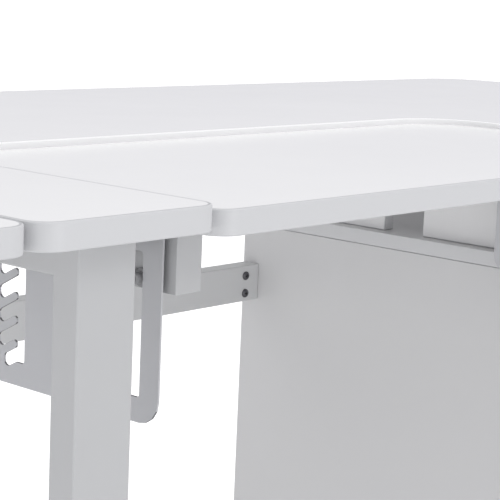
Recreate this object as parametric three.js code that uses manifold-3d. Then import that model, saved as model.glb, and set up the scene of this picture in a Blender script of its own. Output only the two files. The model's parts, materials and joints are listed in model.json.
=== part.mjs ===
// Sewing table: a U-shaped top with a height-adjustable machine platform in its
// cut-out, a fold-down leaf at the left, a steel end frame and a storage cabinet.
// Millimetres, +Z up, origin on the floor under the middle of the opened table.
import * as THREE from 'three';
import { mergeVertices } from 'three/addons/utils/BufferGeometryUtils.js';
import Module from 'manifold-3d';

const wasm = await Module();
wasm.setup();

// ---- driving dimensions -------------------------------------------------
// x runs from the seam between leaf and top, y from the front edge of the top.
const GAP = 0.3; // clearance between faces that touch
const TABLE_HEIGHT = 762;
const BOARD = 16; // thickness of the table-top boards
const EDGE_ROUND = 1; // rounding along the board edges
const ARC_STEPS = 4; // half the straight steps in each rounded corner
const ROUND_SIDES = 12; // sides of rods and turned parts
const LAP = 1; // how far solids that are joined into one run into each other

const TOP = { width: 1355, depth: 694, cornerRadius: 60, seamRadius: 17 };
const CUTOUT = { left: 135.5, right: 767.5, depth: 306, innerRadius: 58, mouthRadius: 16 };
const LEAF = { width: 320, seam: 2 };
const PLATFORM = {
  left: 137.5, right: 763.5, front: 4, depth: 298, step: 4.7, frontRadius: 17, rearRadius: 58,
};

const TUBE = { wide: 40, thin: 20.8, wall: 1.5, cornerRadius: 1.3 };
const LEG_WIDE = 42.8; // width of the legs and of the rail that joins their tops
const LEG_X = 42.7; // outer face of the left end frame
const FRONT_LEG_Y = 18.2;
const REAR_LEG_Y = 551;
const FOOT_RAIL_Z = 90;
const GLIDE = { thickness: 6, plugTop: 16 };
const CROSSBAR_TOP = 575.3;
const BRACKET = { thickness: 2, inset: 3, reach: 18 };
const SCREW = {
  fromCabinet: 21.5, below: { upper: 11.2, lower: 30.8 }, hole: 2.9,
  shank: 2.4, length: 9, headRadius: 4.75, headHeight: 2.4,
};

const COMB = {
  thickness: 1.5, outset: 2.9, front: 45, rear: 225, height: 124.7, cornerRadius: 16, flange: 20,
  windowFronts: [61.3, 167.4], windowTop: 726, channelWidth: 7.9, channelRadius: 2,
  firstFingerTip: 715.7, pitch: 15.8, slotCount: 6, slotHeight: 9.8, slotReach: 17.7, lastSlotReach: 12,
  slotSlope: 0.53, slotEndRadius: 3.6, tipRadius: 2.3,
};
const RAIL = { outset: -0.3, width: 21.5, height: 38.5, front: 38, rear: 256, wall: 1.5 };
const PEG = {
  radius: 3.5, height: 709.5, collarRadius: 6, collarLength: 2.3, reach: 5.5, chamfer: 1, tail: 12,
};

const CABINET = { left: 797, right: 1325, front: 60, back: 574, top: 633.3, board: 15, backBoard: 3 };
const PLINTH = { height: 60, setback: 15 };
const DIVIDER_Z = 455;
const SHELF_Z = 262;
const RISER = { setback: 16, front: 76, gapFront: 343, gapBack: 392, back: 558 };
const FRONT_REVEAL = 1.5; // margin round the drawer front and the door
const SHELF_SETBACK = 30;
const DRAWER = { side: 12, bottom: 5, bottomInset: 8, sideGap: 13, low: 485, high: 595, length: 455 };
const RUNNER = { length: 440, height: 36, front: 66, web: 1.5, lip: 10, play: 0.8 };
const DOOR_HINGE = {
  heights: { lower: 130, upper: 400 }, cupRadius: 17.5, cupDepth: 11.5, cupInset: 24,
  armLength: 56, armHeight: 16, armDepth: 12, armSetback: 3,
};
const HANDLE = { width: 140, bar: 8, innerRadius: 2, projection: 24, depth: 10, inset: 30 };

const HINGE = {
  plate: 2, length: 70, knuckles: 5, radius: 4, bore: 2.35, pin: 2, relief: 0.5, reach: 42, armReach: 118,
};
const HINGE_FRONTS = [96, 528];

// ---- materials ----------------------------------------------------------
const finish = (color, roughness, metalness = 0) =>
  new THREE.MeshStandardMaterial({ color, roughness, metalness });
const topBoard = () => finish(0xf3f3f5, 0.3);
const cabinetBoard = () => finish(0xe6e6e8, 0.45);
const framePaint = () => finish(0xd6d7da, 0.4, 0.1);
const platePaint = () => finish(0xc4c6cc, 0.4, 0.2);
const steel = () => finish(0xb9bbbf, 0.3, 0.9);
const darkSteel = () => finish(0x4c4d50, 0.4, 0.8);
const blackPlastic = () => finish(0x2c2c2e, 0.6);

// ---- building helpers ---------------------------------------------------
const table = new THREE.Group();
table.position.set(-(TOP.width - LEAF.seam - LEAF.width) / 2, -TOP.depth / 2, 0);

function place(name, geometry, material) {
  const mesh = new THREE.Mesh(geometry, material);
  mesh.name = name;
  table.add(mesh);
}

// A box between two values on each axis.
function block([x0, x1], [y0, y1], [z0, z1]) {
  const box = new THREE.BoxGeometry(x1 - x0, y1 - y0, z1 - z0);
  return box.translate((x0 + x1) / 2, (y0 + y1) / 2, (z0 + z1) / 2);
}

// A closed outline through [x, y, radius] corners, listed anticlockwise. It is drawn from
// the first rounded corner, because a path can't begin with a straight line into an arc.
function outline(listed, path = new THREE.Shape()) {
  const first = Math.max(listed.findIndex((corner) => corner[2] > 0), 0);
  const corners = [...listed.slice(first), ...listed.slice(0, first)];
  const at = (i) => new THREE.Vector2(...corners[(i + corners.length) % corners.length]);
  corners.forEach(([x, y, radius], i) => {
    if (!radius) {
      if (i === 0) path.moveTo(x, y);
      else path.lineTo(x, y);
      return;
    }
    const corner = at(i);
    const back = at(i - 1).sub(corner).normalize();
    const ahead = at(i + 1).sub(corner).normalize();
    const halfAngle = Math.acos(back.dot(ahead)) / 2;
    const run = radius / Math.tan(halfAngle);
    const centre = back.clone().add(ahead).setLength(radius / Math.sin(halfAngle)).add(corner);
    const start = back.clone().multiplyScalar(run).add(corner).sub(centre);
    const end = ahead.clone().multiplyScalar(run).add(corner).sub(centre);
    const clockwise = back.cross(ahead) > 0;
    path.absarc(centre.x, centre.y, radius, start.angle(), end.angle(), clockwise);
  });
  path.closePath();
  return path;
}

function rectangle([x0, x1], [y0, y1], radius, path) {
  return outline([[x0, y0, radius], [x1, y0, radius], [x1, y1, radius], [x0, y1, radius]], path);
}

function extrude(shape, length, curveSegments = ARC_STEPS) {
  return new THREE.ExtrudeGeometry(shape, { depth: length, bevelEnabled: false, curveSegments });
}

// Extrusions drawn in one plane and turned into the table's axes.
const axis = [new THREE.Vector3(1, 0, 0), new THREE.Vector3(0, 1, 0), new THREE.Vector3(0, 0, 1)];
const ALONG_X = new THREE.Matrix4().makeBasis(axis[1], axis[2], axis[0]); // drawn as (y, z)
const ALONG_Y = new THREE.Matrix4().makeBasis(axis[2], axis[0], axis[1]); // drawn as (z, x)

function tableBoard(shape, top) {
  const board = new THREE.ExtrudeGeometry(shape, {
    depth: BOARD - 2 * EDGE_ROUND, curveSegments: ARC_STEPS, bevelSegments: 2,
    bevelThickness: EDGE_ROUND, bevelSize: EDGE_ROUND, bevelOffset: -EDGE_ROUND,
  });
  return board.translate(0, 0, top - BOARD + EDGE_ROUND);
}

// Rectangular steel tube drawn between limits on two axes, with square corners inside.
function tubeShape(xs, ys) {
  const shape = rectangle(xs, ys, TUBE.cornerRadius);
  const inner = (span) => [span[0] + TUBE.wall, span[1] - TUBE.wall];
  shape.holes.push(rectangle(inner(xs), inner(ys), 0, new THREE.Path()));
  return shape;
}

function rod(radius, length, sides = ROUND_SIDES) {
  return new THREE.CylinderGeometry(radius, radius, length, sides); // along y, centred
}

function solidOf(geometry) {
  const bare = geometry.clone();
  bare.deleteAttribute('normal');
  bare.deleteAttribute('uv');
  const merged = mergeVertices(bare, 1e-4);
  return new wasm.Manifold(new wasm.Mesh({
    numProp: 3,
    vertProperties: new Float32Array(merged.attributes.position.array),
    triVerts: new Uint32Array(merged.index.array),
  }));
}

function geometryOf(solid) {
  const { vertProperties, triVerts } = solid.getMesh();
  const geometry = new THREE.BufferGeometry();
  geometry.setAttribute('position', new THREE.BufferAttribute(vertProperties, 3));
  geometry.setIndex(new THREE.BufferAttribute(triVerts, 1));
  return geometry.toNonIndexed();
}

const joined = (parts) => geometryOf(parts.map(solidOf).reduce((whole, part) => whole.add(part)));
const cut = (whole, parts) =>
  geometryOf(parts.map(solidOf).reduce((rest, part) => rest.subtract(part), solidOf(whole)));

// ---- table-top boards ---------------------------------------------------
const UNDERSIDE = TABLE_HEIGHT - BOARD;

function makeTop() {
  const { width, depth, cornerRadius, seamRadius } = TOP;
  const shape = outline([
    [0, 0, seamRadius],
    [CUTOUT.left, 0, CUTOUT.mouthRadius],
    [CUTOUT.left, CUTOUT.depth, CUTOUT.innerRadius],
    [CUTOUT.right, CUTOUT.depth, CUTOUT.innerRadius],
    [CUTOUT.right, 0, CUTOUT.mouthRadius],
    [width, 0, cornerRadius],
    [width, depth, cornerRadius],
    [0, depth, seamRadius],
  ]);
  place('main_top', tableBoard(shape, TABLE_HEIGHT), topBoard());
}

function makeLeaf() {
  const outer = -LEAF.seam - LEAF.width;
  const shape = outline([
    [outer, 0, TOP.cornerRadius],
    [-LEAF.seam, 0, TOP.seamRadius],
    [-LEAF.seam, TOP.depth, TOP.seamRadius],
    [outer, TOP.depth, TOP.cornerRadius],
  ]);
  place('side_leaf', tableBoard(shape, TABLE_HEIGHT), topBoard());
}

// One side of a leaf hinge: a plate under a board, with its share of the knuckles.
// toward is +1 for the side under the main top and -1 for the side under the leaf.
function hingeSide(front, toward, reach, isMine) {
  const axisX = -LEAF.seam / 2;
  const plateZ = [UNDERSIDE - GAP - HINGE.plate, UNDERSIDE - GAP];
  const axisZ = UNDERSIDE - GAP - HINGE.radius;
  const pitch = HINGE.length / HINGE.knuckles;
  const span = (near, far) => [axisX + toward * near, axisX + toward * far].sort((a, b) => a - b);
  const parts = [block(span(HINGE.radius + HINGE.relief, reach), [front, front + HINGE.length], plateZ)];
  for (let i = 0; i < HINGE.knuckles; i += 1) {
    if (!isMine(i)) continue;
    const from = front + i * pitch + GAP;
    const to = from + pitch - 2 * GAP;
    parts.push(block(span(0, HINGE.radius + LAP), [from, to], plateZ));
    parts.push(rod(HINGE.radius, to - from).translate(axisX, (from + to) / 2, axisZ));
  }
  const bore = rod(HINGE.bore, HINGE.length + 2 * LAP).translate(axisX, front + HINGE.length / 2, axisZ);
  return cut(joined(parts), [bore]);
}

function makeLeafHinges() {
  const names = ['front', 'rear'];
  const axisZ = UNDERSIDE - GAP - HINGE.radius;
  HINGE_FRONTS.forEach((front, i) => {
    const even = (k) => k % 2 === 0;
    const odd = (k) => k % 2 === 1;
    place(`leaf_hinge_plate_${names[i]}`, hingeSide(front, 1, HINGE.reach, even), steel());
    place(`leaf_hinge_arm_${names[i]}`, hingeSide(front, -1, HINGE.armReach, odd), steel());
    const pin = rod(HINGE.pin, HINGE.length).translate(-LEAF.seam / 2, front + HINGE.length / 2, axisZ);
    place(`leaf_hinge_pin_${names[i]}`, pin, steel());
  });
}

// ---- left end frame and crossbar ----------------------------------------
function makeEndFrame() {
  const legX = [LEG_X, LEG_X + LEG_WIDE];
  const legTop = UNDERSIDE - GAP;
  const legFoot = GLIDE.thickness + GAP;
  const rows = { front: FRONT_LEG_Y, rear: REAR_LEG_Y };
  for (const [name, y] of Object.entries(rows)) {
    const legY = [y, y + TUBE.thin];
    const leg = extrude(tubeShape(legX, legY), legTop - legFoot, 1).translate(0, 0, legFoot);
    place(`left_${name}_leg`, leg, framePaint());
    const inset = TUBE.wall + TUBE.cornerRadius / 2;
    const within = ([low, high]) => [low + inset, high - inset];
    const foot = block(legX, legY, [0, GLIDE.thickness]);
    const plug = block(within(legX), within(legY), [GLIDE.thickness - LAP, GLIDE.plugTop]);
    place(`left_${name}_foot_glide`, joined([foot, plug]), blackPlastic());
  }
  const railStart = FRONT_LEG_Y + TUBE.thin + GAP;
  const railLength = REAR_LEG_Y - GAP - railStart;
  const alongY = (zs, xs) =>
    extrude(tubeShape(zs, xs), railLength, 1).applyMatrix4(ALONG_Y).translate(0, railStart, 0);
  place('left_top_rail', alongY([legTop - TUBE.thin, legTop], legX), framePaint());
  const legMiddle = LEG_X + LEG_WIDE / 2;
  const footX = [legMiddle - TUBE.thin / 2, legMiddle + TUBE.thin / 2];
  place('left_foot_rail', alongY([FOOT_RAIL_Z, FOOT_RAIL_Z + TUBE.wide], footX), framePaint());
}

function makeCrossbar() {
  const start = LEG_X + LEG_WIDE + GAP;
  const end = CABINET.left - GAP - BRACKET.thickness - GAP;
  const ys = [REAR_LEG_Y, REAR_LEG_Y + TUBE.thin];
  const zs = [CROSSBAR_TOP - TUBE.wide, CROSSBAR_TOP];
  const bar = extrude(tubeShape(ys, zs), end - start, 1).applyMatrix4(ALONG_X).translate(start, 0, 0);
  const screwX = CABINET.left - SCREW.fromCabinet;
  const screws = Object.entries(SCREW.below).map(([name, below]) => [name, CROSSBAR_TOP - below]);
  const holes = screws.map(([, z]) => rod(SCREW.hole, 2 * SCREW.length).translate(screwX, ys[0], z));
  place('rear_crossbar', cut(bar, holes), framePaint());

  // Angle bracket: a tab inside the tube behind its front wall, and a flange on the cabinet.
  const { thickness, inset, reach } = BRACKET;
  const tabFront = ys[0] + TUBE.wall + GAP;
  const bracketZ = [zs[0] + inset, zs[1] - inset];
  const flangeX = [end + GAP, end + GAP + thickness];
  const tab = block([screwX - reach, flangeX[1]], [tabFront, tabFront + thickness], bracketZ);
  const flange = block(flangeX, [tabFront, ys[1] - inset], bracketZ);
  place('crossbar_bracket', cut(joined([tab, flange]), holes), steel());

  const { headRadius, headHeight, shank, length } = SCREW;
  const profile = [
    [0, -headHeight], [headRadius * 0.6, -headHeight * 0.9], [headRadius * 0.95, -headHeight * 0.45],
    [headRadius, -GAP], [shank, -GAP], [shank, length], [0, length],
  ].map(([r, y]) => new THREE.Vector2(r, y));
  for (const [name, z] of screws) {
    const screw = new THREE.LatheGeometry(profile, ROUND_SIDES).translate(screwX, ys[0], z);
    place(`crossbar_screw_${name}`, screw, darkSteel());
  }
}

// ---- machine platform and its comb plates -------------------------------
const PLATFORM_TOP = TABLE_HEIGHT - PLATFORM.step;
const PLATFORM_UNDERSIDE = PLATFORM_TOP - BOARD;
const PLATFORM_MIDDLE = (PLATFORM.left + PLATFORM.right) / 2;
const PLATFORM_HALF = (PLATFORM.right - PLATFORM.left) / 2;

// Limits on x of something that lies outset mm outside the platform's edge, on one side.
function besidePlatform(side, outset, width) {
  const near = PLATFORM_MIDDLE + side * (PLATFORM_HALF + outset);
  return [near, near + side * width].sort((a, b) => a - b);
}

// Window of a comb plate, drawn as (y, z): a vertical channel that the peg slides in, with
// slots behind it that slope down to the rear, one for each height of the platform.
function combWindow(front) {
  const { windowTop, channelWidth, channelRadius, slotEndRadius, tipRadius } = COMB;
  const rear = front + channelWidth;
  const last = COMB.slotCount - 1;
  const tipOf = (i) => COMB.firstFingerTip - i * COMB.pitch;
  const corners = [[front, windowTop, channelRadius], [front, tipOf(last), channelRadius]];
  for (let i = last; i >= 0; i -= 1) {
    const reach = i === last ? COMB.lastSlotReach : COMB.slotReach;
    const drop = COMB.slotSlope * reach;
    const ceiling = tipOf(i) + COMB.slotHeight;
    corners.push([rear, tipOf(i), i === last ? 0 : tipRadius]);
    corners.push([rear + reach, tipOf(i) - drop, slotEndRadius]);
    corners.push([rear + reach, ceiling - drop, slotEndRadius]);
    corners.push([rear, ceiling, i === 0 ? 0 : tipRadius]);
  }
  corners.push([rear, windowTop, 0]);
  return outline(corners, new THREE.Path());
}

function makeCombPlates() {
  const top = UNDERSIDE - GAP;
  const { front, rear, height, cornerRadius, thickness } = COMB;
  const low = top - height;
  const shape = outline([
    [front, top, 0], [front, low, cornerRadius], [rear, low, cornerRadius], [rear, top, 0],
  ]);
  shape.holes = COMB.windowFronts.map(combWindow);
  for (const [name, side] of [['left', -1], ['right', 1]]) {
    const sheet = besidePlatform(side, COMB.outset, thickness);
    const plate = extrude(shape, thickness, 2).applyMatrix4(ALONG_X).translate(sheet[0], 0, 0);
    const flangeX = besidePlatform(side, COMB.outset, COMB.flange);
    const flange = block(flangeX, [front, rear], [top - thickness, top]);
    place(`comb_plate_${name}`, joined([plate, flange]), platePaint());
  }
}

function makePlatform() {
  const { left, right, front, depth, frontRadius, rearRadius } = PLATFORM;
  const shape = outline([
    [left, front, frontRadius], [right, front, frontRadius],
    [right, front + depth, rearRadius], [left, front + depth, rearRadius],
  ]);
  place('platform_panel', tableBoard(shape, PLATFORM_TOP), topBoard());

  const railTop = PLATFORM_UNDERSIDE - GAP;
  const zs = [railTop - RAIL.height, railTop];
  const pegYs = COMB.windowFronts.map((y) => y + COMB.channelWidth / 2);
  for (const [name, side] of [['left', -1], ['right', 1]]) {
    const xs = besidePlatform(side, RAIL.outset, -RAIL.width);
    const inner = ([low, high]) => [low + RAIL.wall, high - RAIL.wall];
    const hollow = block(inner(xs), [RAIL.front + RAIL.wall, RAIL.rear + LAP], inner(zs));
    const outerFace = side < 0 ? xs[0] : xs[1];
    const drill = () => rod(PEG.radius + GAP, 4 * RAIL.wall).rotateZ(Math.PI / 2);
    const holes = pegYs.map((y) => drill().translate(outerFace, y, PEG.height));
    const rail = block(xs, [RAIL.front, RAIL.rear], zs);
    place(`platform_rail_${name}`, cut(rail, [hollow, ...holes]), framePaint());

    // Peg profile along the outward direction, from its tail inside the rail to its tip.
    const { radius, collarRadius, collarLength, chamfer, tail } = PEG;
    const tip = collarLength + PEG.reach;
    const profile = [
      [0, -tail], [radius, -tail], [radius, GAP], [collarRadius, GAP], [collarRadius, collarLength],
      [radius, collarLength], [radius, tip - chamfer], [radius - chamfer, tip], [0, tip],
    ].map(([r, y]) => new THREE.Vector2(r, y));
    pegYs.forEach((y, i) => {
      const peg = new THREE.LatheGeometry(profile, ROUND_SIDES).rotateZ(-side * Math.PI / 2);
      peg.translate(outerFace, y, PEG.height);
      place(`platform_peg_${name}_${['front', 'rear'][i]}`, peg, steel());
    });
  }
}

// ---- cabinet ------------------------------------------------------------
const INNER_X = [CABINET.left + CABINET.board + GAP, CABINET.right - CABINET.board - GAP];
const CARCASS_TOP = CABINET.top - CABINET.board;

function makeCabinet() {
  const { left, right, front, back, top, board, backBoard } = CABINET;
  const panel = (name, xs, ys, zs) => place(name, block(xs, ys, zs), cabinetBoard());
  const innerBack = back - backBoard - GAP;
  panel('cabinet_side_left', [left, left + board], [front, back], [0, CARCASS_TOP - GAP]);
  panel('cabinet_side_right', [right - board, right], [front, back], [0, CARCASS_TOP - GAP]);
  panel('cabinet_top', [left, right], [front, back], [CARCASS_TOP, top]);
  panel('cabinet_bottom', INNER_X, [front, back], [PLINTH.height, PLINTH.height + board]);
  const backZ = [PLINTH.height + board + GAP, CARCASS_TOP - GAP];
  panel('cabinet_back', INNER_X, [back - backBoard, back], backZ);
  const plinthFront = front + PLINTH.setback;
  panel('cabinet_plinth', INNER_X, [plinthFront, plinthFront + board], [0, PLINTH.height - GAP]);
  panel('cabinet_divider', INNER_X, [front, innerBack], [DIVIDER_Z, DIVIDER_Z + board]);
  panel('cabinet_shelf', INNER_X, [front + SHELF_SETBACK, innerBack], [SHELF_Z, SHELF_Z + board]);

  const riserZ = [top + GAP, UNDERSIDE - GAP];
  const risers = {
    left: [left + RISER.setback, left + RISER.setback + board],
    right: [right - RISER.setback - board, right - RISER.setback],
  };
  for (const [name, xs] of Object.entries(risers)) {
    panel(`riser_${name}_front`, xs, [RISER.front, RISER.gapFront], riserZ);
    panel(`riser_${name}_rear`, xs, [RISER.gapBack, RISER.back], riserZ);
  }
}

// Strap handle with its feet at y = face, standing forward of it.
function strapHandle(face) {
  const { bar, projection, innerRadius } = HANDLE;
  const half = HANDLE.width / 2;
  const outer = face - projection;
  const foot = face - GAP;
  return extrude(outline([
    [-half, foot, 0], [-half, outer, bar], [half, outer, bar], [half, foot, 0],
    [half - bar, foot, 0], [half - bar, outer + bar, innerRadius],
    [-half + bar, outer + bar, innerRadius], [-half + bar, foot, 0],
  ]), HANDLE.depth, 2);
}

const FRONT_FACE = CABINET.front - GAP - CABINET.board; // front of the drawer front and the door
const FRONT_X = [CABINET.left + FRONT_REVEAL, CABINET.right - FRONT_REVEAL];
const FRONT_Y = [FRONT_FACE, CABINET.front - GAP];
const FRONT_SPLIT = DIVIDER_Z + CABINET.board / 2;

function makeDrawer() {
  const { side, bottom, sideGap, low, high, length } = DRAWER;
  const bottomZ = [low + DRAWER.bottomInset, low + DRAWER.bottomInset + bottom];
  const frontZ = [FRONT_SPLIT + FRONT_REVEAL, CABINET.top - FRONT_REVEAL];
  place('drawer_front', block(FRONT_X, FRONT_Y, frontZ), cabinetBoard());

  const left = INNER_X[0] + sideGap;
  const right = INNER_X[1] - sideGap;
  const ys = [CABINET.front, CABINET.front + length];
  place('drawer_side_left', block([left, left + side], ys, [low, high]), cabinetBoard());
  place('drawer_side_right', block([right - side, right], ys, [low, high]), cabinetBoard());
  const between = [left + side + GAP, right - side - GAP];
  place('drawer_bottom', block(between, ys, bottomZ), cabinetBoard());
  const backZ = [bottomZ[1] + GAP, high];
  place('drawer_back', block(between, [ys[1] - side, ys[1]], backZ), cabinetBoard());

  const middle = (CABINET.left + CABINET.right) / 2;
  const handle = strapHandle(FRONT_FACE);
  place('drawer_handle', handle.translate(middle, 0, (frontZ[0] + frontZ[1]) / 2), steel());
}

// Runner pair on each side: a channel on the cabinet and a narrower one inside it on the drawer.
function makeRunners() {
  const { length, height, front, web, lip } = RUNNER;
  const low = (DRAWER.low + DRAWER.high - height) / 2;
  const high = low + height;
  // C-shaped section drawn as (z, x), with its web at x0 and its lips ending at x1.
  const section = (z0, z1, x0, x1) => {
    const inward = Math.sign(x1 - x0) * web;
    const corners = [
      [z0, x0, 0], [z1, x0, 0], [z1, x1, 0], [z1 - web, x1, 0],
      [z1 - web, x0 + inward, 0], [z0 + web, x0 + inward, 0], [z0 + web, x1, 0], [z0, x1, 0],
    ];
    return outline(inward > 0 ? corners : corners.reverse());
  };
  const inset = web + RUNNER.play;
  for (const [name, wall, toward] of [['left', INNER_X[0], 1], ['right', INNER_X[1], -1]]) {
    const fixed = section(low, high, wall, wall + toward * lip);
    const drawerFace = wall + toward * (DRAWER.sideGap - GAP);
    const moving = section(low + inset, high - inset, drawerFace, drawerFace - toward * lip);
    const along = (shape) => extrude(shape, length).applyMatrix4(ALONG_Y).translate(0, front, 0);
    place(`cabinet_runner_${name}`, along(fixed), steel());
    place(`drawer_runner_${name}`, along(moving), steel());
  }
}

function makeDoor() {
  const doorZ = [PLINTH.height + FRONT_REVEAL, FRONT_SPLIT - FRONT_REVEAL];
  const { heights, cupRadius, cupDepth, cupInset } = DOOR_HINGE;
  const { armLength, armHeight, armDepth, armSetback } = DOOR_HINGE;
  const cupX = FRONT_X[1] - cupInset;
  const backFace = CABINET.front - GAP;
  const cup = (radius, depth, y, z) => rod(radius, depth, 2 * ROUND_SIDES).translate(cupX, y, z);
  const recesses = Object.values(heights).map((z) => cup(cupRadius, 2 * cupDepth, backFace, z));
  place('cabinet_door', cut(block(FRONT_X, FRONT_Y, doorZ), recesses), cabinetBoard());

  const handle = strapHandle(FRONT_FACE).rotateY(Math.PI / 2);
  const handleZ = doorZ[1] - HANDLE.width / 2 - HANDLE.inset;
  place('door_handle', handle.translate(FRONT_X[0] + HANDLE.inset, 0, handleZ), steel());

  for (const [name, z] of Object.entries(heights)) {
    const cupY = backFace - (cupDepth - GAP) / 2;
    place(`door_hinge_cup_${name}`, cup(cupRadius - GAP, cupDepth - GAP, cupY, z), steel());
    const armX = [INNER_X[1] - armDepth, INNER_X[1]];
    const armY = [CABINET.front + armSetback, CABINET.front + armSetback + armLength];
    place(`door_hinge_arm_${name}`, block(armX, armY, [z - armHeight / 2, z + armHeight / 2]), steel());
  }
}

makeTop();
makeLeaf();
makeLeafHinges();
makeEndFrame();
makeCrossbar();
makeCombPlates();
makePlatform();
makeCabinet();
makeDrawer();
makeRunners();
makeDoor();

export default table;
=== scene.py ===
"""Looks of a white sewing table: melamine boards, powder-coated steel and a cabinet.

Metres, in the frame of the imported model: +X along the front edge, +Y to the back, +Z up.
"""
import json
import math

import bmesh  # noqa: E402
import bpy  # noqa: E402
from mathutils import Matrix, Vector  # noqa: E402
from mathutils.geometry import tessellate_polygon  # noqa: E402


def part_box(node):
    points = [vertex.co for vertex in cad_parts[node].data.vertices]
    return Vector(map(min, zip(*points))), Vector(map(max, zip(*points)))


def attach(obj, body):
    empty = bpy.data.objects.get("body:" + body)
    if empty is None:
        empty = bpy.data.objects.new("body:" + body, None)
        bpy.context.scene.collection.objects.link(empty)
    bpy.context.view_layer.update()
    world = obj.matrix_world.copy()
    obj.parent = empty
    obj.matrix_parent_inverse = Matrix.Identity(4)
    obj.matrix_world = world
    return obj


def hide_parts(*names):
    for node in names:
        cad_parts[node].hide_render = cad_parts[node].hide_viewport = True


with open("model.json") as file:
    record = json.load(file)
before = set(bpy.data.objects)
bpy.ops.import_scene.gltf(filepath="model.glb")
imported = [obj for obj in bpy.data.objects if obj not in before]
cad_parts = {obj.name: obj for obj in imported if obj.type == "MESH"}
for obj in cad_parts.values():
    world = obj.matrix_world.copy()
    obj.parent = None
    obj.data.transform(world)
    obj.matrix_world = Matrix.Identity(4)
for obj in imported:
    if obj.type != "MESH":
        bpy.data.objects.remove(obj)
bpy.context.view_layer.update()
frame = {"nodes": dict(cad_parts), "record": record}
scene = bpy.context.scene
MM = 0.001
BODY_OF = {
    node: body
    for body, members in frame["record"]["behaviour"]["bodies"].items()
    for node in members
}

# ---- camera --------------------------------------------------------------
CAMERA_AT = (-1.0425, -0.954, 0.8885)
# The directions to the camera's right, above it and behind it.
CAMERA_AXES = (
    (0.66788, -0.74306, 0.04242),
    (0.09650, 0.14296, 0.98501),
    (-0.73798, -0.65378, 0.16719),
)
LENS_MM, SENSOR_MM = 115.4, 36
CLIP_NEAR, CLIP_FAR = 0.05, 2000

camera_data = bpy.data.cameras.new("camera")
camera_data.lens = LENS_MM
camera_data.sensor_width = SENSOR_MM
camera_data.clip_start = CLIP_NEAR
camera_data.clip_end = CLIP_FAR
camera = bpy.data.objects.new("camera", camera_data)
scene.collection.objects.link(camera)
camera.matrix_world = Matrix.Translation(CAMERA_AT) @ Matrix(CAMERA_AXES).transposed().to_4x4()
scene.camera = camera
scene.view_settings.view_transform = "Standard"

# ---- material helpers ----------------------------------------------------
SURFACE_IOR = 1.47
# Features per metre of the textures that every coating or every metal shares.
MOTTLING, SMUDGES = 3.2, 11.0
BRUSHING, STAINS = 420.0, 24.0
BRUSHING_DEPTH = 0.03 * MM


def new_material(name, roughness, metallic=0.0):
    """A new principled material: (material, its node tree, its shader)."""
    material = bpy.data.materials.new(name)
    material.use_nodes = True
    tree = material.node_tree
    shader = tree.nodes["Principled BSDF"]
    shader.inputs["Roughness"].default_value = roughness
    shader.inputs["Metallic"].default_value = metallic
    shader.inputs["IOR"].default_value = SURFACE_IOR
    return material, tree, shader


def noise(tree, scale, detail, stretch=(1, 1, 1), rough=0.5):
    """A noise texture on the object's own coordinates; scale is in features per metre."""
    coords = tree.nodes.new("ShaderNodeTexCoord")
    mapping = tree.nodes.new("ShaderNodeMapping")
    mapping.inputs["Scale"].default_value = stretch
    texture = tree.nodes.new("ShaderNodeTexNoise")
    texture.inputs["Scale"].default_value = scale
    texture.inputs["Detail"].default_value = detail
    texture.inputs["Roughness"].default_value = rough
    tree.links.new(coords.outputs["Object"], mapping.inputs["Vector"])
    tree.links.new(mapping.outputs["Vector"], texture.inputs["Vector"])
    return texture.outputs["Fac"]


def ramp(tree, value, low, high, start=0.35, end=0.65):
    """Maps a value from start..end to a colour or a number between low and high."""
    node = tree.nodes.new("ShaderNodeValToRGB")
    as_colour = [(c, c, c) if isinstance(c, float) else c for c in (low, high)]
    node.color_ramp.elements[0].position = start
    node.color_ramp.elements[1].position = end
    node.color_ramp.elements[0].color = (*as_colour[0], 1)
    node.color_ramp.elements[1].color = (*as_colour[1], 1)
    tree.links.new(value, node.inputs["Fac"])
    return node.outputs["Color"]


def scaled(colour, factor):
    return tuple(c * factor for c in colour)


def bump(tree, shader, layers):
    """Adds bump layers, each (height, distance in metres, strength)."""
    normal = None
    for height, distance, strength in layers:
        node = tree.nodes.new("ShaderNodeBump")
        node.inputs["Distance"].default_value = distance
        node.inputs["Strength"].default_value = strength
        tree.links.new(height, node.inputs["Height"])
        if normal is not None:
            tree.links.new(normal, node.inputs["Normal"])
        normal = node.outputs["Normal"]
    tree.links.new(normal, shader.inputs["Normal"])


def coated(name, colour, roughness, grain, depth, mottle, peel=0.25, smudge=0.06):
    """Painted or laminated surface: faint mottling, smudged gloss and a grain.

    grain is in features per metre and depth is in metres. peel is the strength of the wider
    waves under the grain. mottle and smudge are how far colour and roughness stray.
    """
    material, tree, shader = new_material(name, roughness)
    patches = noise(tree, MOTTLING, detail=4.0)
    tones = ramp(tree, patches, scaled(colour, 1 - mottle), scaled(colour, 1 + mottle / 2))
    tree.links.new(tones, shader.inputs["Base Color"])
    smudges = noise(tree, SMUDGES, detail=5.0, rough=0.6)
    gloss = ramp(tree, smudges, roughness - smudge / 2, roughness + smudge, start=0.2, end=0.8)
    tree.links.new(gloss, shader.inputs["Roughness"])
    fine, coarse = noise(tree, grain, detail=0.0), noise(tree, grain / 9, detail=0.0)
    bump(tree, shader, [(fine, depth, peel * 2), (coarse, depth * 3, peel)])
    return material


def metal(name, colour, roughness, stretch=(1, 1, 1)):
    """Bare or plated steel with fine brushing along the axes of least stretch."""
    material, tree, shader = new_material(name, roughness, metallic=1.0)
    lines = noise(tree, BRUSHING, detail=4.0, stretch=stretch)
    stains = noise(tree, STAINS, detail=5.0)
    tones = ramp(tree, stains, scaled(colour, 0.9), scaled(colour, 1.04))
    tree.links.new(tones, shader.inputs["Base Color"])
    gloss = ramp(tree, lines, roughness - 0.07, roughness + 0.09)
    tree.links.new(gloss, shader.inputs["Roughness"])
    bump(tree, shader, [(lines, BRUSHING_DEPTH, 0.35)])
    return material


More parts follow.
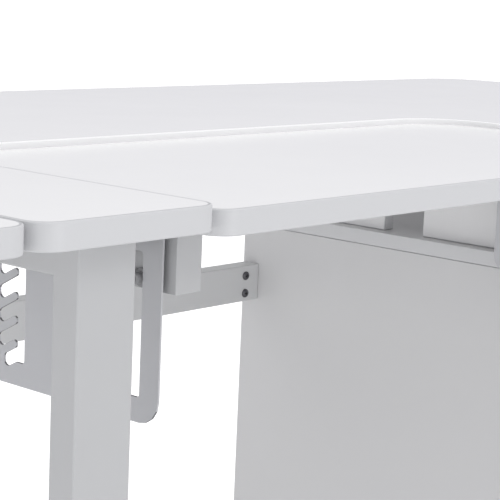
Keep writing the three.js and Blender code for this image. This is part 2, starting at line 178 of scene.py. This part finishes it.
# ---- materials -----------------------------------------------------------
GLOSSY_SHEET = {"grain": 2.5, "depth": 0.05 * MM, "mottle": 0.006, "peel": 0.1, "smudge": 0.01}
BANDING = {"grain": 40, "depth": 0.04 * MM, "peel": 0.05}
MELAMINE = {"grain": 500, "depth": 0.02 * MM, "peel": 0.1}
POWDER_COAT = {"grain": 700, "depth": 0.04 * MM, "mottle": 0.015}
FRAME_GREY = (0.475, 0.48, 0.49)

TOP_FACE = coated("top melamine", (0.885, 0.885, 0.89), 0.2, **GLOSSY_SHEET)
TOP_EDGE = coated("top edge band", (0.58, 0.585, 0.60), 0.34, mottle=0.012, **BANDING)
# Painted shade: a dark strip round the top boards' caps, standing in for the shade in the seams
# between the boards.
TOP_RIM_SHADE = coated("top rim with painted seam shade", (0.44, 0.445, 0.465), 0.45, mottle=0.012, **BANDING)
# Painted light: a brighter copy of the top's edge band, for the band along the rear and right of
# the cut-out.
STEP_EDGE_LIT = coated("cut-out edge band with painted light", (0.93, 0.93, 0.935), 0.4, mottle=0.01, **BANDING)
TOP_UNDER = coated("top underside sheet", (0.74, 0.74, 0.745), 0.5, 400, 0.03 * MM, mottle=0.03)
BOARD_FACE = coated("cabinet melamine", (0.63, 0.63, 0.635), 0.4, mottle=0.015, **MELAMINE)
BOARD_EDGE = coated("cabinet edge band", (0.62, 0.625, 0.635), 0.42, mottle=0.02, **MELAMINE)
FRAME_PAINT = coated("frame powder coat", FRAME_GREY, 0.42, peel=0.12, **POWDER_COAT)
FRAME_EDGE = coated("frame coat on edges", FRAME_GREY, 0.4, peel=0.1, **POWDER_COAT)
# Painted light: a lighter copy of the frame's grey, for the crossbar and its bracket in the shade
# under the top.
LIT_BAR_PAINT = coated("crossbar coat with painted light", (0.60, 0.605, 0.61), 0.42, peel=0.12, **POWDER_COAT)
# Painted light: a lighter copy of the cabinet melamine, for the risers in the shade under the top.
LIT_RISER_FACE = coated("riser melamine with painted light", (0.78, 0.78, 0.785), 0.4, mottle=0.015, **MELAMINE)
PLATE_PAINT = coated("plate powder coat", (0.51, 0.515, 0.535), 0.42, peel=0.12, **POWDER_COAT)
# Painted shade: near black on the comb plates' slot and side edges, which face away from the light.
PLATE_EDGE_SHADE = coated("plate edges with painted shade", (0.16, 0.16, 0.17), 0.55, 900, 0.05 * MM, mottle=0.12)
STEEL = metal("satin steel", (0.58, 0.585, 0.60), 0.3, stretch=(1, 0.06, 1))
PEG_STEEL = coated("dull zinc on pegs", (0.30, 0.30, 0.31), 0.5, 500, 0.03 * MM, 0.05, peel=0.1)
DARK_STEEL = metal("dark screw steel", (0.13, 0.13, 0.14), 0.36)
# Painted shade: near black inside the screw heads' cross and hex recesses.
RECESS_SHADE = coated("painted shade in screw recess", (0.02, 0.02, 0.02), 0.6, 900, 0.04 * MM, mottle=0.1)
GLIDE = coated("black glide plastic", (0.03, 0.03, 0.032), 0.55, 1400, 0.05 * MM, mottle=0.15)

# ---- mesh helpers --------------------------------------------------------
# A point at u, v across an axis and w along it, and the places of u and v among x, y and z.
AXES = {
    "x": lambda u, v, w: (w, u, v),
    "y": lambda u, v, w: (v, w, u),
    "z": lambda u, v, w: (u, v, w),
}
PLANE = {"x": (1, 2), "y": (2, 0), "z": (0, 1)}
# A slab's faces by their place among its materials. STEP is only for the table top's boards, where
# RIM faces get painted shade and STEP faces painted light.
CAP, SIDE, UNDERSIDE, RIM, STEP = range(5)
SHARP_ANGLE, BEVEL_ANGLE, FLAT_ANGLE = 40, 35, 1  # degrees between two faces
SAME_POINT = 0.01 * MM
NORMAL_WEIGHT = 90  # of 1 to 100, where more lets large faces set the shading beside them
LEAST_CORNER = 1.05  # times the rounding, so that an inset corner keeps a radius


def finish_piece(name, bm, materials, body, replaced=()):
    """Turns a bmesh into a piece that rides on a body."""
    bmesh.ops.recalc_face_normals(bm, faces=bm.faces)
    mesh = bpy.data.meshes.new(name)
    bm.to_mesh(mesh)
    bm.free()
    for material in materials:
        mesh.materials.append(material)
    piece = bpy.data.objects.new(name, mesh)
    scene.collection.objects.link(piece)
    mesh.polygons.foreach_set("use_smooth", [True] * len(mesh.polygons))
    mesh.set_sharp_from_angle(angle=math.radians(SHARP_ANGLE))
    modifier = piece.modifiers.new("even normals", "WEIGHTED_NORMAL")
    modifier.keep_sharp = True
    modifier.weight = NORMAL_WEIGHT
    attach(piece, body)
    if replaced:
        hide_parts(*replaced)
    return piece


def between(low, high, share):
    """The value that lies a share of the way from low to high."""
    return low + share * (high - low)


def middle_of(node):
    low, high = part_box(node)
    return [(a + b) / 2 for a, b in zip(low, high)]


def spans(node, axis):
    """Limits of a node's box: across in the two directions of the axis's plane, and along it."""
    low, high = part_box(node)
    u, v = PLANE[axis]
    w = "xyz".index(axis)
    return (low[u], high[u]), (low[v], high[v]), (low[w], high[w])


def rectangle(us, vs, radius):
    return [
        (us[0], vs[0], radius), (us[1], vs[0], radius),
        (us[1], vs[1], radius), (us[0], vs[1], radius),
    ]


def rounded_loop(corners, inset, steps):
    """Points along an outline of (u, v, radius) corners, anticlockwise, moved inwards by inset."""
    count = len(corners)
    at = [Vector(corner[:2]) for corner in corners]
    points = []
    for i in range(count):
        before, here, after = at[i - 1], at[i], at[(i + 1) % count]
        arrive, leave = (here - before).normalized(), (after - here).normalized()
        left_a, left_l = Vector((-arrive.y, arrive.x)), Vector((-leave.y, leave.x))
        convex = arrive.x * leave.y - arrive.y * leave.x > 0
        corner = here + (left_a + left_l) * (inset / (1 + left_a.dot(left_l)))
        radius = corners[i][2] - inset if convex else corners[i][2] + inset
        half = math.acos(max(-1.0, min(1.0, (-arrive).dot(leave)))) / 2
        run = radius / math.tan(half)
        centre = corner + (leave - arrive).normalized() * (radius / math.sin(half))
        start, end = corner - arrive * run - centre, corner + leave * run - centre
        first = math.atan2(start.y, start.x)
        sweep = math.atan2(end.y, end.x) - first
        sweep = (sweep + math.pi) % (2 * math.pi) - math.pi
        for k in range(steps + 1):
            a = first + sweep * k / steps
            points.append((centre.x + radius * math.cos(a), centre.y + radius * math.sin(a)))
    return points


def slab(outlines, axis, low, high, rounding, steps, ring_steps, band=0.0):
    """A bmesh extruded along an axis from low to high, with rounded edges.

    outlines[0] is the outer one and the others are holes, all of them anticlockwise. steps is
    for each corner and ring_steps for each rounded edge. band, less the rounding, is the width
    of a rim round both caps, whose faces are marked RIM.
    """
    place = AXES[axis]
    bm = bmesh.new()
    rise = [math.radians(90 * k / ring_steps) for k in range(ring_steps + 1)]
    levels = [(rounding * (1 - math.sin(a)), low + rounding * (1 - math.cos(a))) for a in rise]
    if band:
        levels.insert(0, (band, low))
    levels += [(inset, low + high - w) for inset, w in reversed(levels)]
    caps = {0: [], len(levels) - 1: []}
    for number, corners in enumerate(outlines):
        fitted = [(u, v, max(r, rounding * LEAST_CORNER)) for u, v, r in corners]
        toward = 1 if number == 0 else -1
        rings = []
        for inset, w in levels:
            loop = rounded_loop(fitted, toward * inset, steps)
            rings.append([bm.verts.new(place(u, v, w)) for u, v in loop])
        for level, (lower, upper) in enumerate(zip(rings, rings[1:])):
            on_cap = band > 0 and level in (0, len(rings) - 2)
            size = len(lower)
            for i in range(size):
                j = (i + 1) % size
                face = bm.faces.new((lower[i], lower[j], upper[j], upper[i]))
                face.material_index = RIM if on_cap else SIDE
        for key in caps:
            caps[key].append(rings[key])
    for key, loops in caps.items():
        index = UNDERSIDE if key == 0 else CAP
        if len(loops) == 1:
            bm.faces.new(loops[0]).material_index = index
            continue
        flat = [vert for loop in loops for vert in loop]
        for triangle in tessellate_polygon([[v.co for v in loop] for loop in loops]):
            bm.faces.new([flat[i] for i in triangle]).material_index = index
    return bm


def soften(node, materials, width, segments=2, pick=None):
    """A copy of a node with its sharp edges eased. pick gives a face's material from its normal."""
    bm = bmesh.new()
    bm.from_mesh(frame["nodes"][node].data)
    bmesh.ops.remove_doubles(bm, verts=bm.verts, dist=SAME_POINT)
    flat = math.radians(FLAT_ANGLE)
    bmesh.ops.dissolve_limit(bm, angle_limit=flat, verts=bm.verts, edges=bm.edges)
    bm.normal_update()
    for face in bm.faces:
        face.material_index = pick(face.normal) if pick else 0
    edges = [
        e for e in bm.edges
        if len(e.link_faces) == 2 and math.degrees(e.calc_face_angle(0.0)) > BEVEL_ANGLE
    ]
    bmesh.ops.bevel(
        bm, geom=edges, offset=width, segments=segments, profile=0.5,
        affect="EDGES", clamp_overlap=True, material=-1,
    )
    return finish_piece(f"{node}_piece", bm, materials, BODY_OF[node], [node])


# ---- table-top boards ----------------------------------------------------
TOP_MATERIALS = [TOP_FACE, TOP_EDGE, TOP_UNDER, TOP_RIM_SHADE, STEP_EDGE_LIT]
CORNER, SEAM_CORNER = 60 * MM, 17 * MM
INNER_CORNER, MOUTH_CORNER = 58 * MM, 16 * MM
FRONT_CORNER = 17 * MM
TOP_ROUND = 1 * MM
EDGE_BAND = 2.4 * MM
LEFT_GAP, RIGHT_GAP, REAR_GAP = 2 * MM, 4 * MM, 4 * MM  # between the platform and the main top

leaf_x, leaf_y, board_z = spans("side_leaf", "z")
top_x, top_y, _ = spans("main_top", "z")
platform_x, platform_y, platform_z = spans("platform_panel", "z")
cut_x = (platform_x[0] - LEFT_GAP, platform_x[1] + RIGHT_GAP)
cut_depth = platform_y[1] + REAR_GAP

main_outline = [
    (top_x[0], top_y[0], SEAM_CORNER), (cut_x[0], top_y[0], MOUTH_CORNER),
    (cut_x[0], cut_depth, INNER_CORNER), (cut_x[1], cut_depth, INNER_CORNER),
    (cut_x[1], top_y[0], MOUTH_CORNER), (top_x[1], top_y[0], CORNER),
    (top_x[1], top_y[1], CORNER), (top_x[0], top_y[1], SEAM_CORNER),
]
leaf_outline = [
    (leaf_x[0], leaf_y[0], CORNER), (leaf_x[1], leaf_y[0], SEAM_CORNER),
    (leaf_x[1], leaf_y[1], SEAM_CORNER), (leaf_x[0], leaf_y[1], CORNER),
]
platform_outline = [
    (platform_x[0], platform_y[0], FRONT_CORNER), (platform_x[1], platform_y[0], FRONT_CORNER),
    (platform_x[1], platform_y[1], INNER_CORNER), (platform_x[0], platform_y[1], INNER_CORNER),
]


def beside_step(x, y):
    """Whether a point of an edge band is along the rear or the right of the cut-out, where the band
    gets painted light.
    """
    in_cutout = cut_x[0] - EDGE_BAND < x < cut_x[1] + EDGE_BAND and y < cut_depth + EDGE_BAND
    at_rear = y > platform_y[1] - INNER_CORNER
    behind_mouth = y > platform_y[0] + FRONT_CORNER + EDGE_BAND
    at_right = x > platform_x[1] - INNER_CORNER and behind_mouth
    return in_cutout and (at_rear or at_right)


for node, corners, zs in (
    ("main_top", main_outline, board_z),
    ("side_leaf", leaf_outline, board_z),
    ("platform_panel", platform_outline, platform_z),
):
    board = slab([corners], "z", *zs, TOP_ROUND, steps=16, ring_steps=5, band=EDGE_BAND)
    # The band along the rear and right of the cut-out takes the painted-light copy of the edge
    # band.
    for face in board.faces:
        x, y, _ = face.calc_center_median()
        if node != "side_leaf" and face.material_index in (SIDE, RIM) and beside_step(x, y):
            face.material_index = STEP
    finish_piece(f"{node}_board", board, TOP_MATERIALS, BODY_OF[node], [node])

# ---- frame tubes ---------------------------------------------------------
TUBE_CORNER, TUBE_INSIDE_CORNER, TUBE_WALL = 1.4 * MM, 0.5 * MM, 1.5 * MM
TUBE_END_ROUND = 0.25 * MM
WELD = 1.5 * MM  # how far a tube runs on into the one that it is welded to
CABINET_REACH = 2.2 * MM  # how far the crossbar runs on to the cabinet's side


def tube(node, axis, ends=(0, 0), paint=FRAME_PAINT):
    """A steel tube in place of its node, run on past each end by the lengths in ends."""
    us, vs, ws = spans(node, axis)
    ws = (ws[0] - ends[0], ws[1] + ends[1])
    inner_us, inner_vs = ((lower + TUBE_WALL, upper - TUBE_WALL) for lower, upper in (us, vs))
    outlines = [rectangle(us, vs, TUBE_CORNER), rectangle(inner_us, inner_vs, TUBE_INSIDE_CORNER)]
    bm = slab(outlines, axis, *ws, TUBE_END_ROUND, steps=6, ring_steps=2)
    materials = [FRAME_EDGE, paint, FRAME_EDGE]
    return finish_piece(f"{node}_tube", bm, materials, BODY_OF[node], [node])


for node, axis, ends in (
    ("left_front_leg", "z", (0, 0)), ("left_rear_leg", "z", (0, 0)),
    ("left_top_rail", "y", (WELD, WELD)), ("left_foot_rail", "y", (WELD, WELD)),
):
    tube(node, axis, ends)
# The crossbar takes the painted-light copy of the frame's grey.
tube("rear_crossbar", "x", (WELD, CABINET_REACH), LIT_BAR_PAINT)
for node in ("platform_rail_left", "platform_rail_right"):
    soften(node, [FRAME_PAINT], 0.8 * MM, segments=3)
for node in ("left_front_foot_glide", "left_rear_foot_glide"):
    soften(node, [GLIDE], 1.0 * MM, segments=3)


# ---- comb plates and bracket ---------------------------------------------
def plate_material(normal):
    """0, powder coat, on a comb plate's two faces and its front edge, and 1, a dark painted shade,
    on its other edges, picked by the way they face.
    """
    return 0 if abs(normal.x) > 0.5 or normal.y < -0.95 else 1


for node in ("comb_plate_left", "comb_plate_right"):
    soften(node, [PLATE_PAINT, PLATE_EDGE_SHADE], 0.15 * MM, segments=1, pick=plate_material)
# The bracket takes the crossbar's painted-light coat, which also hides the shaded line at the bar's
# end.
soften("crossbar_bracket", [LIT_BAR_PAINT], 0.3 * MM)

# ---- turned pieces -------------------------------------------------------
CROSS_ARM, CROSS_WAIST = 0.3, 0.42  # half an arm's angle in radians, and the share between arms
SCREW_HEIGHT, SCREW_SINK = 0.9 * MM, 0.4 * MM
# A screw head's outline and its recess, as shares of its radius and its height.
SCREW_CROWN = ((1, 0.15), (0.9, 0.65), (0.6, 1), (0.52, 1))
SCREW_RECESS = ((0.5, 0.97), (0.42, -0.6))


def section_share(kind, angle):
    """Radius of a section at an angle, as a share of its largest radius."""
    if kind == "hex":
        return math.cos(math.pi / 6) / math.cos((angle + math.pi / 6) % (math.pi / 3) - math.pi / 6)
    if kind == "cross":
        from_arm = abs((angle + math.pi / 4) % (math.pi / 2) - math.pi / 4)
        return 1.0 if from_arm < CROSS_ARM else CROSS_WAIST
    return 1.0


def turned(name, profile, centre, axis, materials, body, replaced=(), sides=48, marks=None):
    """A turned part about an axis, closed at both ends.

    profile is rings of (radius, height, kind of section). marks gives the material of the faces
    that follow each ring, and its last one that of the closing face.
    """
    place = AXES[axis]
    bm = bmesh.new()
    rings = []
    for radius, height, kind in profile:
        ring = []
        for k in range(sides):
            a = 2 * math.pi * k / sides
            r = radius * section_share(kind, a)
            point = Vector(place(r * math.cos(a), r * math.sin(a), height)) + Vector(centre)
            ring.append(bm.verts.new(point))
        rings.append(ring)
    for number, (lower, upper) in enumerate(zip(rings, rings[1:])):
        for i in range(sides):
            j = (i + 1) % sides
            face = bm.faces.new((lower[i], lower[j], upper[j], upper[i]))
            face.material_index = marks[number] if marks else 0
    for ring, mark in ((rings[0], 0), (rings[-1], -1)):
        bm.faces.new(ring).material_index = marks[mark] if marks else 0
    return finish_piece(name, bm, materials, body, replaced)


def screw_head(name, centre, axis, out, radius, body):
    """A steel screw's head standing out of a face. out is +1 or -1 along the axis."""
    profile = [(radius, -SCREW_SINK * out, "round")]
    profile += [(radius * r, SCREW_HEIGHT * h * out, "round") for r, h in SCREW_CROWN]
    profile += [(radius * r, SCREW_HEIGHT * h * out, "cross") for r, h in SCREW_RECESS]
    # The recess's faces take the painted shade.
    marks = [0] * (len(profile) - 2) + [1, 1]
    return turned(name, profile, centre, axis, [STEEL, RECESS_SHADE], body, marks=marks)


# ---- crossbar screws -----------------------------------------------------
BAR_SCREW_SHANK, BAR_SCREW_POINT = 2.4 * MM, 2 * MM
BAR_SCREW_LIFT = 0.1 * MM  # from the crossbar to the underside of the head
DOME_ANGLES = [math.radians(angle) for angle in (0, 20, 40, 60, 75)]
DOME_TOP, DOME_FOOT = 0.45, 0.35  # shares of the head's radius and of its height


def crossbar_screw(node):
    """Pan-head screw with a cross recess, driven rearwards into the crossbar."""
    low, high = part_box(node)
    centre = middle_of(node)
    centre[1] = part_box("rear_crossbar")[0][1]
    head, top = (high[2] - low[2]) / 2, centre[1] - low[1]
    end = high[1] - centre[1]
    dome = [
        (head * (DOME_TOP + (1 - DOME_TOP) * math.cos(a)),
         -top * (DOME_FOOT + (1 - DOME_FOOT) * math.sin(a)), "round")
        for a in DOME_ANGLES
    ]
    profile = [
        (BAR_SCREW_SHANK * 0.5, end, "round"), (BAR_SCREW_SHANK, end - BAR_SCREW_POINT, "round"),
        (BAR_SCREW_SHANK, -BAR_SCREW_LIFT, "round"), (head, -BAR_SCREW_LIFT, "round"),
        *dome, (head * 0.5, -top, "round"),
        (head * 0.45, -top, "cross"), (head * 0.3, -top * 0.25, "cross"),
    ]
    # The recess's faces take the painted shade.
    marks = [0] * (len(profile) - 2) + [1, 1]
    turned(f"{node}_turned", profile, centre, "y", [DARK_STEEL, RECESS_SHADE], "root",
           [node], marks=marks)


for node in ("crossbar_screw_upper", "crossbar_screw_lower"):
    crossbar_screw(node)

# ---- height pegs ---------------------------------------------------------
PEG_SHANK, PEG_EASE = 3.5 * MM, 0.4 * MM
COLLAR_FROM, COLLAR_TO = 0.3 * MM, 2.3 * MM  # from the face of the platform's rail
PEG_SOCKET, PEG_SOCKET_DEPTH = 1.7 * MM, 1.6 * MM
PEG_TIP = ((0, 2), (0.6, 0.6), (2, 0))  # how far in and how far back, in eases


def height_peg(side, row):
    """Shouldered peg with a collar beside the platform's rail and a hexagonal socket in its end."""
    node = f"platform_peg_{side}_{row}"
    out, edge = (-1, 0) if side == "left" else (1, 1)
    rail_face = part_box(f"platform_rail_{side}")[edge][0]
    tip = (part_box(node)[edge][0] - rail_face) * out
    tail = (rail_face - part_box(node)[1 - edge][0]) * out
    collar = (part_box(node)[1][2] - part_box(node)[0][2]) / 2
    outline = [
        (PEG_SHANK - PEG_EASE, -tail), (PEG_SHANK, PEG_EASE - tail), (PEG_SHANK, COLLAR_FROM),
        (collar - PEG_EASE, COLLAR_FROM), (collar, COLLAR_FROM + PEG_EASE),
        (collar, COLLAR_TO - PEG_EASE), (collar - PEG_EASE, COLLAR_TO), (PEG_SHANK, COLLAR_TO),
    ]
    outline += [(PEG_SHANK - PEG_EASE * inward, tip - PEG_EASE * back) for inward, back in PEG_TIP]
    profile = [(radius, height * out, "round") for radius, height in outline]
    profile += [
        (PEG_SOCKET, tip * out, "hex"), (PEG_SOCKET * 0.95, (tip - PEG_SOCKET_DEPTH) * out, "hex"),
    ]
    centre = middle_of(node)
    centre[0] = rail_face
    turned(f"{node}_turned", profile, centre, "x", [PEG_STEEL], "platform", [node])


for side in ("left", "right"):
    for row in ("front", "rear"):
        height_peg(side, row)

# ---- screws of the comb plates and of the platform's rails ---------------
FLANGE_SCREW_INSET, FLANGE_THICK = 8 * MM, 1.5 * MM
FLANGE_SCREW, RAIL_SCREW = 3.6 * MM, 4.2 * MM  # radii of the heads

for side in ("left", "right"):
    plate, rail = f"comb_plate_{side}", f"platform_rail_{side}"
    low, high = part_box(plate)
    x = low[0] + FLANGE_SCREW_INSET if side == "left" else high[0] - FLANGE_SCREW_INSET
    for number, share in enumerate((0.1, 0.5, 0.9)):
        at = (x, between(low[1], high[1], share), high[2] - FLANGE_THICK)
        screw_head(f"{plate}_screw_{number + 1}", at, "z", -1, FLANGE_SCREW, "root")
    low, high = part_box(rail)
    for number, share in enumerate((0.12, 0.88)):
        at = ((low[0] + high[0]) / 2, between(low[1], high[1], share), low[2])
        screw_head(f"{rail}_screw_{number + 1}", at, "z", -1, RAIL_SCREW, "platform")

# ---- leaf hinges ---------------------------------------------------------
HINGE_SCREW, HINGE_THICK = 3.4 * MM, 2 * MM
PIN_ANGLES = [math.radians(angle) for angle in (10, 35, 60, 90)]
PIN_DOME = 0.4  # height of a pin's domed end, as a share of its radius


def hinge_pin(node):
    """Rod with domed ends."""
    us, _, ws = spans(node, "y")
    radius = (us[1] - us[0]) / 2
    foot = [
        (radius * math.sin(a), ws[0] + radius * PIN_DOME * (1 - math.sin(a)), "round")
        for a in PIN_ANGLES
    ]
    head = [(r, ws[0] + ws[1] - w, kind) for r, w, kind in reversed(foot)]
    centre = middle_of(node)
    centre[1] = 0
    turned(f"{node}_turned", foot + head, centre, "y", [STEEL], BODY_OF[node], [node])


for row in ("front", "rear"):
    hinge_pin(f"leaf_hinge_pin_{row}")
    for part, shares in (("plate", (0.5, 0.82)), ("arm", (0.25, 0.55, 0.9))):
        node = f"leaf_hinge_{part}_{row}"
        soften(node, [STEEL], 0.25 * MM)
        low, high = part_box(node)
        near, far = (low[0], high[0]) if part == "plate" else (high[0], low[0])
        for number, share in enumerate(shares):
            for letter, across in (("a", 0.2), ("b", 0.8)):
                at = (between(near, far, share), between(low[1], high[1], across),
                      high[2] - HINGE_THICK)
                screw_head(f"{node}_screw_{number + 1}{letter}", at, "z", -1, HINGE_SCREW,
                           BODY_OF[node])

# ---- cabinet -------------------------------------------------------------
BOARD_MATERIALS = [BOARD_FACE, BOARD_EDGE, BOARD_FACE]
# The risers take the painted-light copy of the melamine.
LIT_RISER_MATERIALS = [LIT_RISER_FACE, BOARD_EDGE, LIT_RISER_FACE]
BOARD_ROUND, BOARD_CORNER = 0.8 * MM, 1.0 * MM


def panel(node, axis, materials):
    """A flat board in place of a box-shaped node, its edges eased."""
    us, vs, ws = spans(node, axis)
    outline = rectangle(us, vs, BOARD_CORNER)
    bm = slab([outline], axis, *ws, BOARD_ROUND, steps=3, ring_steps=3)
    return finish_piece(f"{node}_board", bm, materials, BODY_OF[node], [node])


for node, axis in {
    "cabinet_side_left": "x", "cabinet_side_right": "x", "cabinet_top": "z", "cabinet_bottom": "z",
    "cabinet_back": "y", "cabinet_plinth": "y", "cabinet_divider": "z", "cabinet_shelf": "z",
    "riser_left_front": "x", "riser_left_rear": "x", "riser_right_front": "x",
    "riser_right_rear": "x", "drawer_front": "y", "drawer_side_left": "x",
    "drawer_side_right": "x", "drawer_bottom": "z", "drawer_back": "y", "cabinet_door": "y",
}.items():
    panel(node, axis, LIT_RISER_MATERIALS if node.startswith("riser") else BOARD_MATERIALS)
for node in ("drawer_handle", "door_handle"):
    soften(node, [STEEL], 1.2 * MM, segments=3)
for node in (
    "cabinet_runner_left", "cabinet_runner_right", "drawer_runner_left", "drawer_runner_right",
    "door_hinge_cup_lower", "door_hinge_cup_upper", "door_hinge_arm_lower", "door_hinge_arm_upper",
):
    soften(node, [STEEL], 0.3 * MM)

# ---- shelf pins and screws of the door's hinges --------------------------
PIN_RADIUS, PIN_TIP_RADIUS, PIN_END_RADIUS = 2.5 * MM, 2.2 * MM, 0.8 * MM
PIN_DEPTH, PIN_LENGTH = 6 * MM, 7.2 * MM  # into the cabinet's side and out of it
PIN_DROP = 2.6 * MM  # from the underside of the shelf to the middle of a pin
DOOR_SCREW = 3.6 * MM

shelf_low, shelf_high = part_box("cabinet_shelf")
pin_outline = (
    (PIN_TIP_RADIUS, -PIN_DEPTH), (PIN_RADIUS, -PIN_DEPTH + 0.4 * MM),
    (PIN_RADIUS, PIN_LENGTH - 0.8 * MM), (PIN_TIP_RADIUS, PIN_LENGTH - 0.2 * MM),
    (PIN_END_RADIUS, PIN_LENGTH),
)
for row, share in (("front", 0.1), ("rear", 0.9)):
    y = between(shelf_low[1], shelf_high[1], share)
    for side, x, out in (("left", shelf_low[0], 1), ("right", shelf_high[0], -1)):
        profile = [(radius, height * out, "round") for radius, height in pin_outline]
        turned(f"shelf_pin_{side}_{row}", profile, (x, y, shelf_low[2] - PIN_DROP), "x", [STEEL],
               "root", sides=32)
for level in ("lower", "upper"):
    low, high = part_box(f"door_hinge_arm_{level}")
    for number, share in enumerate((0.45, 0.85)):
        at = (low[0], between(low[1], high[1], share), (low[2] + high[2]) / 2)
        screw_head(f"door_hinge_arm_{level}_screw_{number + 1}", at, "x", -1, DOOR_SCREW, "root")

# ---- floor ---------------------------------------------------------------
FLOOR_BOUNCE, FLOOR_SEEN = 0.9, 1.3
FLOOR_SIZE = 600.0


def floor_material():
    """White studio floor that throws back less light than it shows, as a cut-out's backdrop."""
    material = bpy.data.materials.new("studio floor")
    material.use_nodes = True
    tree = material.node_tree
    tree.nodes.remove(tree.nodes["Principled BSDF"])
    diffuse = tree.nodes.new("ShaderNodeBsdfDiffuse")
    path = tree.nodes.new("ShaderNodeLightPath")
    mix = tree.nodes.new("ShaderNodeMix")
    mix.data_type = "RGBA"
    mix.inputs["A"].default_value = (FLOOR_BOUNCE, FLOOR_BOUNCE, FLOOR_BOUNCE, 1)
    mix.inputs["B"].default_value = (FLOOR_SEEN, FLOOR_SEEN, FLOOR_SEEN, 1)
    tree.links.new(path.outputs["Is Camera Ray"], mix.inputs["Factor"])
    tree.links.new(mix.outputs["Result"], diffuse.inputs["Color"])
    tree.links.new(diffuse.outputs["BSDF"], tree.nodes["Material Output"].inputs["Surface"])
    return material


def make_floor():
    bm = bmesh.new()
    for x, y in ((-1, -1), (1, -1), (1, 1), (-1, 1)):
        bm.verts.new((x * FLOOR_SIZE, y * FLOOR_SIZE, 0))
    bm.faces.new(bm.verts)
    mesh = bpy.data.meshes.new("floor")
    bm.to_mesh(mesh)
    bm.free()
    mesh.materials.append(floor_material())
    floor = bpy.data.objects.new("floor", mesh)
    scene.collection.objects.link(floor)


make_floor()

# ---- light ---------------------------------------------------------------
# Each softbox: where it is, where it points, its width and height in metres, and its watts.
SOFTBOXES = {
    "overhead softbox": ((0.2, 0.4, 3.2), (0.1, 0.1, 0.7), (3.0, 2.4), 4),
    "high front softbox": ((0.4, -2.3, 3.0), (0.2, 0.2, 0.7), (2.0, 1.2), 17),
    "front softbox": ((0.2, -3.4, 0.62), (0.1, 0.0, 0.55), (3.0, 1.1), 13),
    "left softbox": ((-3.4, -0.6, 0.62), (0.3, 0.1, 0.55), (2.6, 1.1), 16.5),
}
HORIZON, LOW_SKY, HIGH_SKY = (0.42, 0.41, 0.49, 1), (0.80, 0.80, 0.815, 1), (0.95, 0.95, 0.95, 1)
LOW_SKY_AT, HIGH_SKY_AT = 0.25, 0.5  # height of each colour, where straight up is 1
WHITE = (1, 1, 1, 1)


def area_light(name, at, target, size, power):
    light = bpy.data.lights.new(name, "AREA")
    light.shape = "RECTANGLE"
    light.size, light.size_y = size
    light.energy = power
    lamp = bpy.data.objects.new(name, light)
    lamp.location = at
    lamp.rotation_mode = "QUATERNION"
    lamp.rotation_quaternion = (Vector(target) - Vector(at)).to_track_quat("-Z", "Y")
    scene.collection.objects.link(lamp)


def light_world():
    """A pale sky, darker at the horizon, in place of which the camera sees plain white."""
    world = bpy.data.worlds.new("studio")
    scene.world = world
    world.use_nodes = True
    tree = world.node_tree
    background = tree.nodes["Background"]
    coords = tree.nodes.new("ShaderNodeTexCoord")
    split = tree.nodes.new("ShaderNodeSeparateXYZ")
    sky = tree.nodes.new("ShaderNodeValToRGB")
    sky.color_ramp.elements[0].position = 0.0
    sky.color_ramp.elements[0].color = HORIZON
    sky.color_ramp.elements[1].position = HIGH_SKY_AT
    sky.color_ramp.elements[1].color = HIGH_SKY
    sky.color_ramp.elements.new(LOW_SKY_AT).color = LOW_SKY
    path = tree.nodes.new("ShaderNodeLightPath")
    seen = tree.nodes.new("ShaderNodeMix")
    seen.data_type = "RGBA"
    seen.inputs["B"].default_value = WHITE
    tree.links.new(coords.outputs["Generated"], split.inputs["Vector"])
    tree.links.new(split.outputs["Z"], sky.inputs["Fac"])
    tree.links.new(sky.outputs["Color"], seen.inputs["A"])
    tree.links.new(path.outputs["Is Camera Ray"], seen.inputs["Factor"])
    tree.links.new(seen.outputs["Result"], background.inputs["Color"])
    background.inputs["Strength"].default_value = 1.0


for name, (at, target, size, power) in SOFTBOXES.items():
    area_light(name, at, target, size, power)
light_world()
